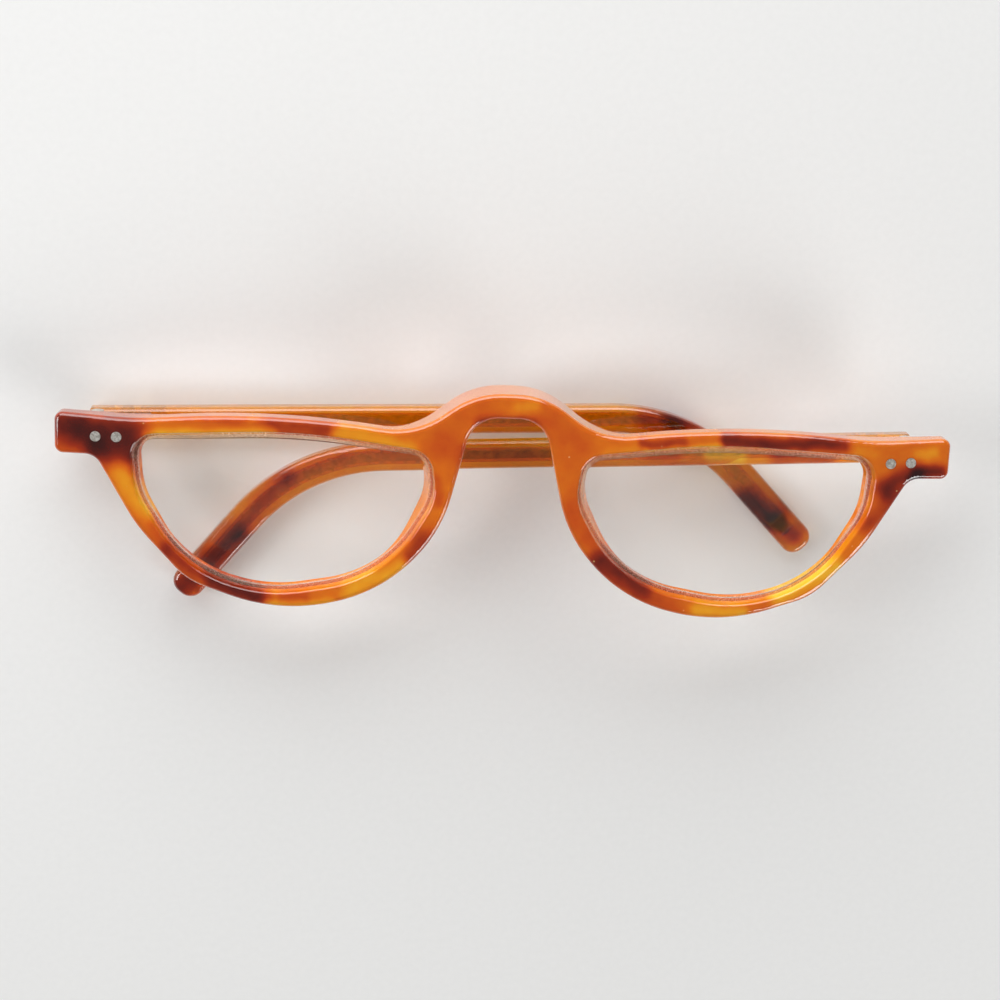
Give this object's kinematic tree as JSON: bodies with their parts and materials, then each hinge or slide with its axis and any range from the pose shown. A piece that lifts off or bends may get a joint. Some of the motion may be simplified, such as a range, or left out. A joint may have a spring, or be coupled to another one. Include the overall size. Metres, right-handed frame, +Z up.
{
  "type": "half eye reading glasses",
  "caption": "Half eye reading glasses in mottled acetate, folded: clear lenses, arched bridge and hinged temples with a bent ear end.",
  "frame": {"origin": "centre of the folded pair's bounding box, on the plane of the outer temple's flat outer face that it rests on", "axes": "+X along the front from the left temple's hinge to the right temple's hinge, +Y towards the brow, +Z up through the lenses"},
  "size_m": [0.14, 0.0372, 0.0203],
  "materials": {
    "acetate": "polished",
    "lens": "clear",
    "hinge_metal": "satin",
    "core_metal": "ribbed"
  },
  "bodies": {
    "front": {"front_frame": "acetate", "lens_left": "lens", "lens_right": "lens", "front_hinge_leaf_left": "hinge_metal", "front_hinge_leaf_right": "hinge_metal", "hinge_screw_left": "hinge_metal", "hinge_screw_right": "hinge_metal", "front_rivet_inner_left": "hinge_metal", "front_rivet_outer_left": "hinge_metal", "front_rivet_inner_right": "hinge_metal", "front_rivet_outer_right": "hinge_metal"},
    "left_temple": {"temple_left": "acetate", "core_wire_left": "core_metal", "temple_hinge_leaf_left": "hinge_metal", "temple_rivet_front_left": "hinge_metal", "temple_rivet_rear_left": "hinge_metal"},
    "right_temple": {"temple_right": "acetate", "core_wire_right": "core_metal", "temple_hinge_leaf_right": "hinge_metal", "temple_rivet_front_right": "hinge_metal", "temple_rivet_rear_right": "hinge_metal"}
  },
  "joints": [
    {"name": "left_temple_hinge", "type": "hinge", "parent": "front", "child": "left_temple", "pos_m": [-0.06368, 0.00992, 0.0051], "axis": [-0.0209, 0.9998, 0], "range_deg": [0, 91]},
    {"name": "right_temple_hinge", "type": "hinge", "parent": "front", "child": "right_temple", "pos_m": [0.06421, 0.00966, 0.01404], "axis": [0.0488, -0.9988, 0.0019], "range_deg": [0, 91]}
  ],
  "couplings": [
    {"joint": "right_temple_hinge", "follows": "left_temple_hinge", "ratio": 1}
  ]
}
